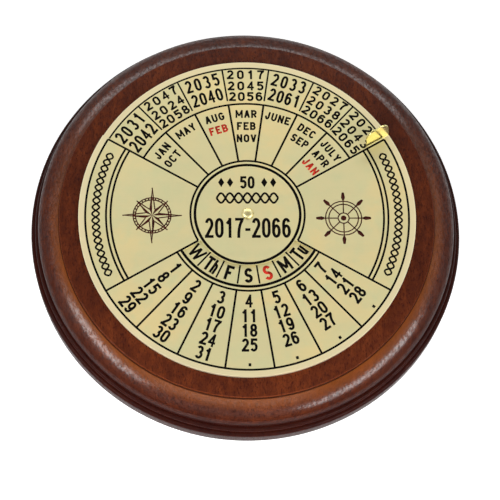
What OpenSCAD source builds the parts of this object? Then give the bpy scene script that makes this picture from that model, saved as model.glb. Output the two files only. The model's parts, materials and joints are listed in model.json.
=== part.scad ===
// Perpetual desk calendar: a turned wooden base carries a fixed brass disc of
// years and weekdays, and a brass plate of months and dates turns over it on a
// rivet, pushed round by an upright finger tab. Millimetres, +Z up. The origin
// is on the axis of the rivet, on the face that the calendar rests on, and +Y
// runs towards the top of the dial. Angles are clockwise from +Y, as on a clock.

/* [Dial] */
// Diameter of both brass discs
disc_d = 98; // [90:1:120]
// Thickness of the fixed lower disc
year_t = 0.6; // [0.5:0.1:1.5]
// Thickness of the turning upper plate
month_t = 0.5; // [0.5:0.1:1.5]
// Distance from the edge of the discs to the outer printed circle
rim_w = 2; // [1.2:0.1:3]
// Radial depth of the band of years that the notch uncovers
years_band = 12; // [9:0.5:13]
// Radial depth of the band of instructions beside the notch
side_band = 6; // [4:0.5:8]
// Diameter of the medallion in the middle of the turning plate
medallion_d = 33.2; // [30:0.1:36]
// Radial height of the window that shows the weekdays
window_h = 5.8; // [4.5:0.1:6.5]
// Gap between the two lines of every double line
double_gap = 1.3; // [1:0.1:2]
// Distance from the middle of an edge line to the cut side of the notch or window
edge_gap = 0.4; // [0.4:0.05:0.7]

/* [Enamel lines] */
// Width of the lines printed on the turning plate
line_w = 0.6; // [0.3:0.05:0.65]
// Width of the lines printed on the fixed disc
year_line_w = 0.5; // [0.3:0.05:0.65]
// Width of the bold lines, round the medallion and under the window
bold_line_w = 0.8; // [0.3:0.05:0.9]
// Depth of the etched grooves that hold the enamel
line_depth = 0.2; // [0.1:0.05:0.3]

/* [Finger tab] */
// Width of the tab along the radius
tab_w = 7.6; // [5:0.1:10]
// Length of the tab from its bend to its tip
tab_h = 6.2; // [4:0.1:9]
// Distance from the edge of the disc to the side of the tab
tab_inset = 0.1; // [0.1:0.1:2]
// Radius of the tab's two upper corners
tab_corner_r = 2.6; // [1:0.1:3]
// Inside radius of the tab's bend
bend_r = 0.15; // [0.15:0.05:1]
// Angle that the tab is bent up from the plate
bend_angle = 80; // [60:1:90]

/* [Rivet] */
// Diameter of the rivet's shank
shank_d = 2; // [1.5:0.1:3]
// Diameter of the rivet's domed head
head_d = 3.4; // [3.3:0.1:5]
// Height of the domed head
head_h = 0.7; // [0.5:0.1:1.5]
// Diameter of the peened tail
tail_d = 3.2; // [3.1:0.1:4.5]
// Height of the peened tail
tail_h = 0.7; // [0.4:0.1:1.2]
// Radial running clearance round the shank
shank_clearance = 0.05; // [0.02:0.01:0.09]
// End play between the rivet's head and the turning plate
end_play = 0.05; // [0.02:0.01:0.1]

/* [Washers and film] */
// Thickness of the glide washer between the discs
glide_t = 0.15; // [0.1:0.05:0.4]
// Diameter of the glide washer
glide_d = 12; // [6:0.5:20]
// Thickness of the washer under the peened tail
tail_washer_t = 0.5; // [0.3:0.1:1]
// Diameter of the washer under the peened tail
tail_washer_d = 6; // [5:0.1:8]
// Thickness of the adhesive film that holds the lower disc
film_t = 0.2; // [0.1:0.05:0.5]
// Distance from the edge of the disc to the edge of the film
film_inset = 1.5; // [0.5:0.5:4]

/* [Wooden base] */
// Height of the wood
base_h = 15; // [13:0.5:20]
// Angle of the moulding's ellipse at which it meets the flat field's riser
ovolo_turn = 60; // [50:1:90]
// Width of the flat wood that shows round the discs
field_margin = 5.7; // [3:0.1:10]
// Radial width of the whole moulding
moulding_w = 8.8; // [7:0.1:14]
// Drop from the flat field to the start of the rounded moulding
fillet_h = 1.2; // [0.6:0.1:1.8]
// Height of the upright wall at the foot of the base
plinth_h = 4.4; // [3:0.1:5]
// Radius of the rounded shoulder above the wall
shoulder_r = 0.9; // [0.5:0.1:1.2]
// Radius of the turned bead
bead_r = 0.8; // [0.5:0.1:1]
// Width of the little flat between the bead and the shoulder
quirk_w = 0.3; // [0.2:0.1:0.5]
// Height of the groove above the bead
groove_h = 0.8; // [0.5:0.1:1]
// Distance that the moulding's lip stands out over the groove
lip_w = 0.45; // [0.3:0.05:1]
// Height of the lip's upright face
lip_h = 1.5; // [0.8:0.1:1.6]
// Rounding of the wood's crisp edges
edge_r = 0.3; // [0.1:0.1:0.5]
// Clear space round the rivet's tail in its pocket
pocket_gap = 1.5; // [0.5:0.1:3]

/* [Felt] */
// Thickness of the felt pad
felt_t = 1.2; // [0.8:0.1:3]
// Distance from the wall of the base to the edge of the felt
felt_inset = 2; // [1:0.5:6]

/* [Hidden] */
$fn = 128;

// Colours
WOOD = [0.38, 0.19, 0.12];
FELT = [0.2, 0.2, 0.2];
BRASS = [0.81, 0.75, 0.52];
BRIGHT_BRASS = [0.85, 0.74, 0.38];
ENAMEL = [0.08, 0.05, 0.03];
FILM = [0.9, 0.89, 0.85];

// The dial has three cells for each weekday, so it turns in steps of one cell
CELLS = 21;
pitch = 360 / CELLS;
// The notch, the side panels and the window each take a third of the dial
half_third = 7 * pitch / 2;

// Heights of the stack, from the resting face upwards
base_z = felt_t;
film_z = base_z + base_h;
year_z = film_z + film_t;
glide_z = year_z + year_t;
month_z = glide_z + glide_t;
top_z = month_z + month_t;

// Radii of the dial, from the edge inwards
disc_r = disc_d / 2;
outer_line_r = disc_r - rim_w;
notch_line_r = outer_line_r - years_band;
notch_r = notch_line_r + line_w;
side_line_r = outer_line_r - side_band;
medallion_r = medallion_d / 2;
window_in_r = medallion_r - double_gap + line_w;
window_out_r = window_in_r + window_h;
dates_line_r = window_out_r + line_w + double_gap;
// Years and weekdays are etched with a little room inside their openings
year_spoke_in_r = notch_r + 1;
weekday_in_r = window_in_r - line_w;
weekday_out_r = window_out_r + line_w;

// Radii of the base, from the dial outwards
field_r = disc_r + field_margin;
base_r = field_r + moulding_w;
bead_mid_r = base_r - shoulder_r - quirk_w - bead_r;
groove_r = bead_mid_r - bead_r;
lip_r = groove_r + lip_w;
// Heights of the moulding above the wood's underside
shoulder_z = plinth_h + shoulder_r;
bead_z = shoulder_z + bead_r;
groove_z = bead_z + bead_r;
lip_z = groove_z + groove_h + lip_h;
// Half axes of the moulding's ellipse, of which only the part below the riser is cut
ovolo_w = (lip_r - field_r) / (1 - cos(ovolo_turn));
ovolo_h = (base_h - fillet_h - lip_z) / sin(ovolo_turn);

bore_r = shank_d / 2 + shank_clearance;
pocket_r = tail_washer_d / 2 + pocket_gap;
pocket_h = tail_washer_t + tail_h + pocket_gap;

// Points of an elliptical arc about [r, z], from angle a to angle b
function arc(r, z, half_w, half_h, a, b, steps) =
    [for (i = [0 : steps]) let (t = a + (b - a) * i / steps) [r + half_w * cos(t), z + half_h * sin(t)]];

// Point at radius r and clockwise angle a
function clock(r, a) = [r * sin(a), r * cos(a)];

// ---- Flat shapes of the dial ----

// Slice of a disc between two clockwise angles
module slice(r, a, b) {
    steps = ceil((b - a) / 30);
    reach = r / cos((b - a) / steps / 2);
    polygon(concat([[0, 0]], [for (i = [0 : steps]) clock(reach, a + (b - a) * i / steps)]));
}

// Part of a flat ring between two clockwise angles
module ring_slice(r_in, r_out, a, b) {
    intersection() {
        difference() {
            circle(r_out);
            circle(r_in);
        }
        slice(r_out, a, b);
    }
}

// Printed arc of width w whose middle is at radius r
module arc_line(r, a, b, w = line_w) {
    ring_slice(r - w / 2, r + w / 2, a, b);
}

// Printed circle of width w whose middle is at radius r
module circle_line(r, w = line_w) {
    difference() {
        circle(r + w / 2);
        circle(r - w / 2);
    }
}

// Printed line of width w along the radius at clockwise angle a
module spoke(a, r_in, r_out, w = line_w) {
    rotate(-a) translate([-w / 2, r_in]) square([w, r_out - r_in]);
}

// Opening between two clockwise angles, whose sides stop short of the lines there
module opening(r_in, r_out, a, b) {
    difference() {
        ring_slice(r_in, r_out, a, b);
        for (edge = [a, b]) rotate(-edge) translate([-edge_gap, 0]) square([2 * edge_gap, 2 * r_out]);
    }
}

// Lines of the fixed disc: a cell for each group of years and for each weekday. The
// weekday cells lie half a cell round, because seven of them centre on the window
module year_lines() {
    circle_line(outer_line_r, year_line_w);
    for (i = [0 : CELLS - 1]) {
        spoke((i + 0.5) * pitch, year_spoke_in_r, outer_line_r, year_line_w);
        spoke(i * pitch, weekday_in_r, weekday_out_r, year_line_w);
    }
}

// Lines of the turning plate
module month_lines() {
    // Medallion, and the second line round its upper part
    circle_line(medallion_r - double_gap, bold_line_w);
    arc_line(medallion_r, half_third - 180, 180 - half_third);
    // Months under the notch
    arc_line(notch_line_r, -half_third, half_third);
    for (i = [-3 : 2]) spoke((i + 0.5) * pitch, medallion_r, notch_line_r);
    // Edges of the two side panels, with a double arc across each
    for (a = [half_third, 360 - half_third]) spoke(a, medallion_r, outer_line_r);
    for (a = [half_third, 180 + half_third]) {
        arc_line(side_line_r, a, a + half_third);
        arc_line(side_line_r - double_gap, a, a + half_third);
    }
    // Dates round the window
    arc_line(outer_line_r, half_third, 360 - half_third);
    arc_line(window_out_r + line_w, 180 - half_third, 180 + half_third, bold_line_w);
    arc_line(dates_line_r, 180 - half_third, 180 + half_third);
    for (a = [180 - half_third, 180 + half_third]) spoke(a, medallion_r, outer_line_r);
    for (i = [-3 : 2]) spoke(180 + (i + 0.5) * pitch, dates_line_r, outer_line_r);
}

// Outline of the finger tab up to its rounded tip, and on past its bend below
module tab_outline() {
    translate([0, -tab_h / 2]) square([tab_w, 1.5 * tab_h - tab_corner_r]);
    translate([tab_corner_r, 0]) square([tab_w - 2 * tab_corner_r, tab_h]);
    for (x = [tab_corner_r, tab_w - tab_corner_r]) translate([x, tab_h - tab_corner_r]) circle(tab_corner_r);
}

// ---- Solid shapes ----

// Washer of outer radius r that stands on height z
module washer(r, z, t) {
    translate([0, 0, z]) difference() {
        cylinder(r = r, h = t);
        translate([0, 0, -t]) cylinder(r = bore_r, h = 3 * t);
    }
}

// Enamel of the given lines, flush with a face at height z
module enamel(z) {
    translate([0, 0, z - line_depth]) linear_extrude(line_depth) children();
}

// Grooves for the given lines in a face at height z
module grooves(z) {
    translate([0, 0, z - line_depth]) linear_extrude(2 * line_depth) children();
}

// The tab in place: X along the radius, Y round the dial into the notch. A strip with
// its root in the plate is bent up, and then cut to the outline of the tab
module finger_tab() {
    turned = bend_angle - 90;
    outer_r = bend_r + month_t;
    far = tab_h + tab_corner_r;
    strip = concat(
        [[-2 * edge_gap, -bend_r], [-2 * edge_gap, -outer_r]],
        arc(0, 0, outer_r, outer_r, -90, turned, 12),
        [for (r = [outer_r, bend_r]) [r * cos(turned) - far * sin(turned), r * sin(turned) + far * cos(turned)]],
        arc(0, 0, bend_r, bend_r, turned, -90, 12)
    );
    rotate(90 - half_third) translate([disc_r - tab_inset - tab_w, edge_gap, top_z + bend_r]) intersection() {
        translate([-tab_w, 0, 0]) rotate([90, 0, 90]) linear_extrude(3 * tab_w) polygon(strip);
        rotate([bend_angle, 0, 0]) translate([0, 0, -tab_h]) linear_extrude(2 * tab_h) tab_outline();
    }
}

// ---- Pieces ----

module wooden_base() {
    profile = concat(
        [[0, 0], [base_r - edge_r, 0]],
        arc(base_r - edge_r, edge_r, edge_r, edge_r, -90, 0, 4),
        arc(base_r - shoulder_r, plinth_h, shoulder_r, shoulder_r, 0, 90, 8),
        [[bead_mid_r, shoulder_z]],
        arc(bead_mid_r, bead_z, bead_r, bead_r, -75, 90, 12),
        [[groove_r, groove_z], [groove_r, groove_z + groove_h], [lip_r, groove_z + groove_h]],
        arc(lip_r - ovolo_w, lip_z, ovolo_w, ovolo_h, 0, ovolo_turn, 20),
        arc(field_r - edge_r, base_h - edge_r, edge_r, edge_r, 0, 90, 4),
        [[0, base_h]]
    );
    color(WOOD) translate([0, 0, base_z]) difference() {
        rotate_extrude() polygon(profile);
        translate([0, 0, base_h - pocket_h]) cylinder(r = pocket_r, h = 2 * pocket_h);
    }
}

module felt_pad() {
    color(FELT) cylinder(r = base_r - felt_inset, h = felt_t);
}

module adhesive_film() {
    color(FILM) translate([0, 0, film_z]) difference() {
        cylinder(r = disc_r - film_inset, h = film_t);
        translate([0, 0, -film_t]) cylinder(r = pocket_r, h = 3 * film_t);
    }
}

module year_disc() {
    color(BRASS) difference() {
        washer(disc_r, year_z, year_t);
        grooves(glide_z) year_lines();
    }
}

module year_disc_lines() {
    color(ENAMEL) enamel(glide_z) year_lines();
}

module glide_washer() {
    color(FILM) washer(glide_d / 2, glide_z, glide_t);
}

module month_plate() {
    color(BRASS) difference() {
        union() {
            difference() {
                washer(disc_r, month_z, month_t);
                translate([0, 0, month_z - month_t]) linear_extrude(3 * month_t) {
                    opening(notch_r, 2 * disc_r, -half_third, half_third);
                    opening(window_in_r, window_out_r, 180 - half_third, 180 + half_third);
                }
            }
            finger_tab();
        }
        grooves(top_z) month_lines();
    }
}

module month_plate_lines() {
    color(ENAMEL) enamel(top_z) month_lines();
}

module pivot_rivet() {
    head_z = top_z + end_play;
    tail_z = year_z - tail_washer_t;
    profile = concat(
        [[0, tail_z - tail_h]],
        arc(0, tail_z, tail_d / 2, tail_h, -90, 0, 10),
        [[shank_d / 2, tail_z], [shank_d / 2, head_z]],
        arc(0, head_z, head_d / 2, head_h, 0, 90, 16)
    );
    color(BRIGHT_BRASS) rotate_extrude() polygon(profile);
}

module tail_washer() {
    color(BRASS) washer(tail_washer_d / 2, year_z - tail_washer_t, tail_washer_t);
}

wooden_base();
felt_pad();
adhesive_film();
year_disc();
year_disc_lines();
glide_washer();
month_plate();
month_plate_lines();
pivot_rivet();
tail_washer();
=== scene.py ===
# %% [markdown]
# # A perpetual desk calendar, dressed in Blender
#
# The calendar is a turned and lacquered wooden base with two brass discs on it. The lower disc
# carries the years and weekdays and is fixed. The upper one carries the months and dates, and
# turns over it on a rivet when its finger tab is pushed.
#
# The shapes and the joint come from the CAD model, which this script loads as a fixed frame.
# Everything that is added here takes its size and place from that frame, so the finer pieces
# land where the plain ones were. Lengths are in metres, and only the print is laid out in
# millimetres.

# %% Load the CAD model
import json
import math

import bmesh
import bpy
from mathutils import Matrix, Vector

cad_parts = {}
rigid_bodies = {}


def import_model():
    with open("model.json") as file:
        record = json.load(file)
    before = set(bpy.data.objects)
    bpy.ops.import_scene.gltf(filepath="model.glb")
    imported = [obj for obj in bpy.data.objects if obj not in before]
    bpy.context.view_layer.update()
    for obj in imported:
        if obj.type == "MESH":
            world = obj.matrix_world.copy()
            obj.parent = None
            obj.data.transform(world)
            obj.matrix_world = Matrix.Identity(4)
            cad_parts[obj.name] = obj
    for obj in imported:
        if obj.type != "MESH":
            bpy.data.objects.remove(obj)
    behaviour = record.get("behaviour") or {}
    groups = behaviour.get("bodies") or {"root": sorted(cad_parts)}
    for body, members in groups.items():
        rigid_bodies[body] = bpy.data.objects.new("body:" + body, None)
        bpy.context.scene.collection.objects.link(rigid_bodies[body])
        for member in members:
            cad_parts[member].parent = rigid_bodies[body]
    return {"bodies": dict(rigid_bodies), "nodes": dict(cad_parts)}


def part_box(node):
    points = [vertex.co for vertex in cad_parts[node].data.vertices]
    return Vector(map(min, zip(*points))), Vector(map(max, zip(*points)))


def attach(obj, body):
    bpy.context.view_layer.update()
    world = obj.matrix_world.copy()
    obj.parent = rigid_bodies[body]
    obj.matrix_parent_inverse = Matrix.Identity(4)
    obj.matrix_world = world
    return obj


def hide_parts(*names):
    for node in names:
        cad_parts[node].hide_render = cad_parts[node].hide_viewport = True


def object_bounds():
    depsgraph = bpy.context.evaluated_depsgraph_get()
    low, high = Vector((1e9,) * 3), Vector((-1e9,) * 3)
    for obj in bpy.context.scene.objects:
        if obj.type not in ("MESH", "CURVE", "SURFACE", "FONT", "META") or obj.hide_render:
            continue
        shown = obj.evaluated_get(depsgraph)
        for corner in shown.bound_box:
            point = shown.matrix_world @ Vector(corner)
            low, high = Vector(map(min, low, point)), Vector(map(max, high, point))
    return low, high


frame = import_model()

MM = 0.001
CAD_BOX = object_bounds()
print("Bodies:", ", ".join(frame["bodies"]))
print("CAD box in mm:", [round((high - low) / MM, 2) for low, high in zip(*CAD_BOX)])

# %% [markdown]
# ## Sizes
#
# A maker measures before cutting. The heights and radii that the new pieces have to meet are
# read from the CAD nodes once, and get names. A size that no node shows, such as the radius of
# the bead, is written here as the real length.

# %% Sizes that are read from the frame
FOOT_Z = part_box("wooden_base")[0].z
FIELD_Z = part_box("wooden_base")[1].z
BASE_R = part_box("wooden_base")[1].x
DISC_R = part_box("year_disc")[1].x
YEAR_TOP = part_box("year_disc")[1].z
PLATE_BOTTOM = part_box("month_plate")[0].z
PLATE_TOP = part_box("month_plate_lines")[1].z
LINE_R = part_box("year_disc_lines")[1].x
TAIL_WASHER_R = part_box("tail_washer")[1].x
TAIL_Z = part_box("pivot_rivet")[0].z

# The dial is divided into 21 cells, three for each weekday, and seven of them show at a time
DAYS = 7
CELLS = 3 * DAYS
PITCH = 360 / CELLS
MIDDLE = DAYS // 2
print(f"Base {2 * BASE_R / MM:.1f} mm wide, discs {2 * DISC_R / MM:.1f} mm wide, {CELLS} cells")

# %% [markdown]
# ## Camera
#
# The photograph looks down on the dial from above its near edge, with a long lens, and the dial
# stands a little turned in the picture. A camera that looks straight along its own axis is aimed
# at the middle of the dial first, and then rolled, panned and tilted by the small angles that
# were measured on the printed circles. Real angles are used rather than a shift of the lens, so
# that the other views keep the same framing.

# %% Camera
LENS = 121.47
CAMERA_DISTANCE = 0.4897
AZIMUTH = math.radians(-6.008)
ELEVATION = math.radians(68.686)
ROLL = math.radians(5.563)
PAN = math.radians(0.08)
TILT = math.radians(1.234)


def direction(azimuth, elevation):
    """Unit vector from the dial towards a place that is named as a camera view is."""
    level = math.cos(elevation)
    return Vector((math.sin(azimuth) * level, -math.cos(azimuth) * level, math.sin(elevation)))


towards_camera = direction(AZIMUTH, ELEVATION)
turn = towards_camera.to_track_quat("Z", "Y").to_matrix().to_4x4()
for angle, axis in ((ROLL, "Z"), (-PAN, "Y"), (-TILT, "X")):
    turn = turn @ Matrix.Rotation(angle, 4, axis)
camera = bpy.data.objects.new("camera", bpy.data.cameras.new("camera"))
bpy.context.collection.objects.link(camera)
camera.data.lens = LENS
dial_middle = Vector((0, 0, PLATE_TOP))
camera.matrix_world = Matrix.Translation(dial_middle + CAMERA_DISTANCE * towards_camera) @ turn
bpy.context.scene.camera = camera
print("Camera stands at", [round(value, 3) for value in camera.matrix_world.translation])

# %% [markdown]
# ## Shader maths in plain Python
#
# A procedural finish is a sum of patterns: a mask for the edge of a disc, noise for the grain,
# a ramp for the colour. Wiring every Math node by hand hides that sum. The class below wraps one
# socket of a node, so that `1 - mask` or `grain * 0.3 + pores` builds the Math nodes by itself.
# Colours go through Mix nodes, because a Math node would turn them grey.

# %% A socket that Python can count with
class Value:
    """The output of a shader node, on which Python's operators add Math nodes."""

    def __init__(self, finish, socket):
        self.finish = finish
        self.socket = socket

    def maths(self, operation, *others):
        """One Math node that works on this value and the others."""
        inputs = dict(enumerate((self, *others)))
        return self.finish.node("ShaderNodeMath", {"operation": operation}, inputs)

    def __add__(self, other):
        return self.maths("ADD", other)

    def __sub__(self, other):
        return self.maths("SUBTRACT", other)

    def __rsub__(self, other):
        return self.maths("MULTIPLY", -1).maths("ADD", other)

    def __mul__(self, other):
        return self.maths("MULTIPLY", other)

    __radd__ = __add__
    __rmul__ = __mul__

    def above(self, edge, blur):
        """0 below the edge and 1 above it, with a soft step as wide as the blur."""
        settings = {"clamp": True}
        inputs = {0: self, 1: edge - blur / 2, 2: edge + blur / 2, 3: 0, 4: 1}
        return self.finish.node("ShaderNodeMapRange", settings, inputs)

    def near(self, middle, half_width, blur):
        """1 within half a width of the middle, and 0 outside."""
        return 1 - (self - middle).maths("ABSOLUTE").above(half_width, blur)


print("Values can be added, taken away and multiplied")

# %% [markdown]
# ## Finishes
#
# Each finish is a Principled shader whose colour, roughness and bump come from nodes. A finish
# reads the Object coordinates of its piece. Every piece here has its object at the origin, so
# those coordinates are real places on the calendar in metres, and a pattern can be put exactly
# where it belongs: the pale rim lies beyond the printed circle, and the polish on the tab.

# %% Colours and ramps
def linear(red, green, blue):
    """A colour written as on a paint chart, 0 to 255, as the shader wants it."""
    return tuple(((part / 255 + 0.055) / 1.055) ** 2.4 for part in (red, green, blue)) + (1,)


def fill_ramp(ramp, stops):
    """Sets the stops of a colour ramp, which has two of its own to begin with."""
    for count, (place, colour) in enumerate(stops):
        stop = ramp.elements[count] if count < 2 else ramp.elements.new(place)
        stop.position = place
        stop.color = colour


print("Mid grey on the chart is", round(linear(128, 128, 128)[0], 3), "to the shader")

# %% A finish and its nodes
class Finish:
    """A material with a Principled shader, built node by node."""

    def __init__(self, name, **constants):
        self.material = bpy.data.materials.new(name)
        self.material.use_nodes = True
        self.tree = self.material.node_tree
        self.shader = self.tree.nodes["Principled BSDF"]
        for socket, value in constants.items():
            self.shader.inputs[socket.replace("_", " ")].default_value = value

    def node(self, kind, settings, inputs, output=0):
        """Adds a node: first its settings, then the values or links of its sockets."""
        made = self.tree.nodes.new(kind)
        for name, value in settings.items():
            if name == "stops":
                fill_ramp(made.color_ramp, value)
            else:
                setattr(made, name, value)
        for socket, value in inputs.items():
            self.join(value, made.inputs[socket])
        return Value(self, made.outputs[output])

    def join(self, value, socket):
        """Links a value to a socket, or sets the socket if the value is a plain number or colour."""
        if isinstance(value, Value):
            self.tree.links.new(value.socket, socket)
        else:
            socket.default_value = value

    def place(self, stretch=(1, 1, 1)):
        """Object coordinates in metres, stretched along the axes."""
        here = self.node("ShaderNodeTexCoord", {}, {}, "Object")
        return self.node("ShaderNodeMapping", {}, {"Vector": here, "Scale": stretch})

    def along(self, axis):
        """One of the three coordinates, X, Y or Z."""
        return self.node("ShaderNodeSeparateXYZ", {}, {0: self.place()}, axis)

    def radius(self):
        """Distance from the axis that the dial turns on."""
        flat = self.place((1, 1, 0))
        return self.node("ShaderNodeVectorMath", {"operation": "LENGTH"}, {0: flat}, "Value")

    def noise(self, scale, detail=2.0, stretch=(1, 1, 1), roughness=0.5):
        """Soft noise from 0 to 1, with so many patches in a metre."""
        inputs = {"Vector": self.place(stretch), "Scale": scale, "Detail": detail, "Roughness": roughness}
        return self.node("ShaderNodeTexNoise", {}, inputs, 0)

    def blend(self, mask, first, second):
        """The second colour where the mask is 1, and the first where it is 0."""
        inputs = {0: mask, 6: first, 7: second}
        return self.node("ShaderNodeMix", {"data_type": "RGBA"}, inputs, 2)

    def bump(self, height, depth, below=None):
        """Turns a height from 0 to 1 into bumps of a real depth."""
        inputs = {"Height": height, "Distance": depth, "Strength": 1.0}
        if below:
            inputs["Normal"] = below
        return self.node("ShaderNodeBump", {}, inputs)

    def set(self, **values):
        """Feeds the shader's own sockets."""
        for socket, value in values.items():
            self.join(value, self.shader.inputs[socket.replace("_", " ")])
        return self.material


print("A finish can be built")

# %% [markdown]
# ## Stained and lacquered wood
#
# The base is a reddish hardwood with short open pores, stained dark and then lacquered. Wood
# grain is noise stretched along one axis: long soft bands give the growth of the plank, and a
# much finer, less stretched noise, cut off sharply, gives the pores. The grain runs from the
# near side of the dial to the far side. The lacquer is a coat over the stain. It has sunk into
# the grain unevenly, so a noise on the weight of the coat breaks the highlights on the moulding
# into short flecks. Masks on the radius and the height paint wear, light and shade into the
# colour. The shoulder of the moulding is a paler golden brown, partly from wear and partly
# painted light, and the painted light makes it strongest on the near side. The corner at the
# riser is darkened by painted shade, below a top edge that is paler from wear and a painted
# highlight. Low down and in the grooves the colour darkens, partly from heavier toning and
# partly by painted shade.

# %% Where the wear and the painted light and shade lie, and their colours
FIELD_MARGIN = 5.7 * MM
FIELD_R = DISC_R + FIELD_MARGIN
CORNER_REACH = 0.25 * MM
# Depth of the paler top edge at the riser, partly wear and partly a painted highlight
WORN_AND_LIT_DEPTH = 0.3 * MM
SHARP = 0.2 * MM
# How far down the paler shoulder reaches, partly wear and partly painted light, and where its painted light
# fades towards the far side
RUBBED_AND_LIT_DEPTH = 1.85 * MM
RUBBED_AND_LIT_BLUR = 1.1 * MM
NEAR_LIGHT_FADE_START = 15 * MM
NEAR_LIGHT_FADE_WIDTH = 60 * MM
# How far up the darkening reaches, partly heavier toning and partly painted shade
TONER_AND_SHADE_DEPTH = 3.8 * MM
TONER_AND_SHADE_BLUR = 3.4 * MM

STAIN_STOPS = [(0.3, linear(58, 20, 8)), (0.72, linear(124, 58, 24)), (0.5, linear(91, 38, 15))]
PORE_BROWN = linear(40, 12, 5)
# Paler golden brown of the shoulder: partly wear, partly painted light
RUBBED_AND_LIT_BROWN = linear(156, 84, 28)
# Painted shade in the corner at the riser
CORNER_SHADE_BROWN = linear(42, 13, 4)
# Paler top edge of the riser: partly wear, partly a painted highlight
WORN_AND_LIT_BROWN = linear(128, 58, 26)
# Dark brown low down: partly toning, partly painted shade
TONER_AND_SHADE_BROWN = linear(40, 10, 9)
print(f"The wear starts {FIELD_R / MM:.1f} mm from the middle, where the flat field ends")

# %% Wood finish
def stained_wood():
    """Dark red-brown wood with pores; the moulding has wear, toning, painted light and painted shade."""
    wood = Finish("stained wood", Coat_Roughness=0.17, Coat_IOR=1.5, Specular_IOR_Level=0.03)
    radius, height = wood.radius(), wood.along("Z")
    bands = wood.noise(95, 3, (1, 0.1, 0.35), 0.55)
    figure = wood.noise(650, 3, (1, 0.35, 0.6), 0.65)
    clouds = wood.noise(60, 2)
    pores = wood.noise(2100, 1.5, (1, 0.4, 0.7), 0.6).above(0.6, 0.14)
    fine_pores = wood.noise(4200, 1, (1, 0.45, 0.8), 0.6).above(0.6, 0.14)
    stain = bands * 0.35 + figure * 0.45 + clouds * 0.2
    tone = wood.node("ShaderNodeValToRGB", {"stops": STAIN_STOPS}, {0: stain})
    tone = wood.blend(pores * 0.55 + fine_pores * 0.3, tone, PORE_BROWN)
    # A paler golden shoulder on the moulding: partly wear, partly painted light
    rubbed_and_lit = radius.above(FIELD_R, SHARP) * height.above(FIELD_Z - RUBBED_AND_LIT_DEPTH, RUBBED_AND_LIT_BLUR)
    # Fading it towards the far side leaves the near side lighter: this part is painted light only
    rubbed_and_lit = rubbed_and_lit * (1 - wood.along("Y").above(NEAR_LIGHT_FADE_START, NEAR_LIGHT_FADE_WIDTH))
    tone = wood.blend(rubbed_and_lit * 0.5, tone, RUBBED_AND_LIT_BROWN)
    corner = radius.near(FIELD_R, CORNER_REACH, SHARP)
    worn_and_lit = height.above(FIELD_Z - WORN_AND_LIT_DEPTH, SHARP)
    # Painted shade darkens the corner at the riser, below its top edge
    tone = wood.blend(corner * (1 - worn_and_lit) * 0.8, tone, CORNER_SHADE_BROWN)
    # The top edge of the riser is paler: partly wear, partly a painted highlight
    tone = wood.blend(corner * worn_and_lit * 0.4, tone, WORN_AND_LIT_BROWN)
    # Darker low down and in the grooves: partly heavier toning, partly painted shade
    toner_and_shade = 1 - height.above(FIELD_Z - TONER_AND_SHADE_DEPTH, TONER_AND_SHADE_BLUR)
    tone = wood.blend(toner_and_shade * 0.85, tone, TONER_AND_SHADE_BROWN)
    roughness = 0.34 + figure * 0.1 + pores * 0.15
    flecks = wood.noise(1700, 2.5, (1, 0.5, 0.8), 0.7).above(0.5, 0.16)
    coat = (0.95 - toner_and_shade * 0.8) * (0.3 + flecks * 0.7) * (1 - corner * 0.85)
    grain = wood.bump(1 - pores, 0.04 * MM)
    grain = wood.bump(1 - fine_pores, 0.025 * MM, grain)
    grain = wood.bump(figure, 0.035 * MM, grain)
    return wood.set(Base_Color=tone, Roughness=roughness, Coat_Weight=coat, Normal=grain)


WOOD = stained_wood()
print("Made", WOOD.name)

# %% [markdown]
# ## Turned wooden base
#
# The base is turned on a lathe, so it is modelled as a turner makes it: a single point is
# extruded along the profile of the moulding, and that outline is spun round the axis. From the
# foot up the profile has an upright wall, a rounded shoulder, a bead, a groove, a lip and a
# quarter-ellipse moulding that runs up to the little riser of the flat field. Arcs are worked out
# by a formula, with enough points to stay round in a close view. Scaling a cylinder would give
# none of these edges.

# %% Arcs, and one object at a time
def only(thing):
    """Makes one object the active and only selected one."""
    bpy.ops.object.select_all(action="DESELECT")
    thing.select_set(True)
    bpy.context.view_layer.objects.active = thing


def arc(middle, reach, start, end, steps):
    """Points on an elliptical arc, with its angles in degrees."""
    (x, y), (wide, high) = middle, reach
    angles = [math.radians(start + (end - start) * step / steps) for step in range(steps + 1)]
    return [(x + wide * math.cos(angle), y + high * math.sin(angle)) for angle in angles]


middle_point = arc((0, 0), (1, 1), 0, 90, 2)[1]
print("Halfway on a quarter arc:", [round(part, 3) for part in middle_point])

# %% Turn an outline on the lathe
SAME_POINT = 0.0001 * MM
TURNED_SMOOTH = math.radians(32)


def turned(name, profile, steps=256):
    """A closed solid turned from an outline of points (radius, height)."""
    bpy.ops.object.select_all(action="DESELECT")
    bpy.ops.mesh.primitive_plane_add(size=MM, location=(0, 0, 0))
    piece = bpy.context.object
    piece.name = name
    bpy.ops.object.mode_set(mode="EDIT")
    bpy.ops.mesh.select_mode(type="VERT")
    bpy.ops.mesh.merge(type="CENTER")
    here = Vector((profile[0][0], 0, profile[0][1]))
    bpy.ops.transform.translate(value=here)
    for radius, height in profile[1:]:
        there = Vector((radius, 0, height))
        bpy.ops.mesh.extrude_region_move(TRANSFORM_OT_translate={"value": there - here})
        here = there
    bpy.ops.mesh.select_all(action="SELECT")
    bpy.ops.mesh.spin(steps=steps, angle=math.tau, center=(0, 0, 0), axis=(0, 0, 1))
    bpy.ops.mesh.select_all(action="SELECT")
    bpy.ops.mesh.remove_doubles(threshold=SAME_POINT)
    bpy.ops.mesh.normals_make_consistent(inside=False)
    bpy.ops.object.mode_set(mode="OBJECT")
    bpy.ops.object.shade_smooth_by_angle(angle=TURNED_SMOOTH)
    print(f"Turned {name}: {len(profile)} points, {len(piece.data.polygons)} faces")
    return piece


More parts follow.
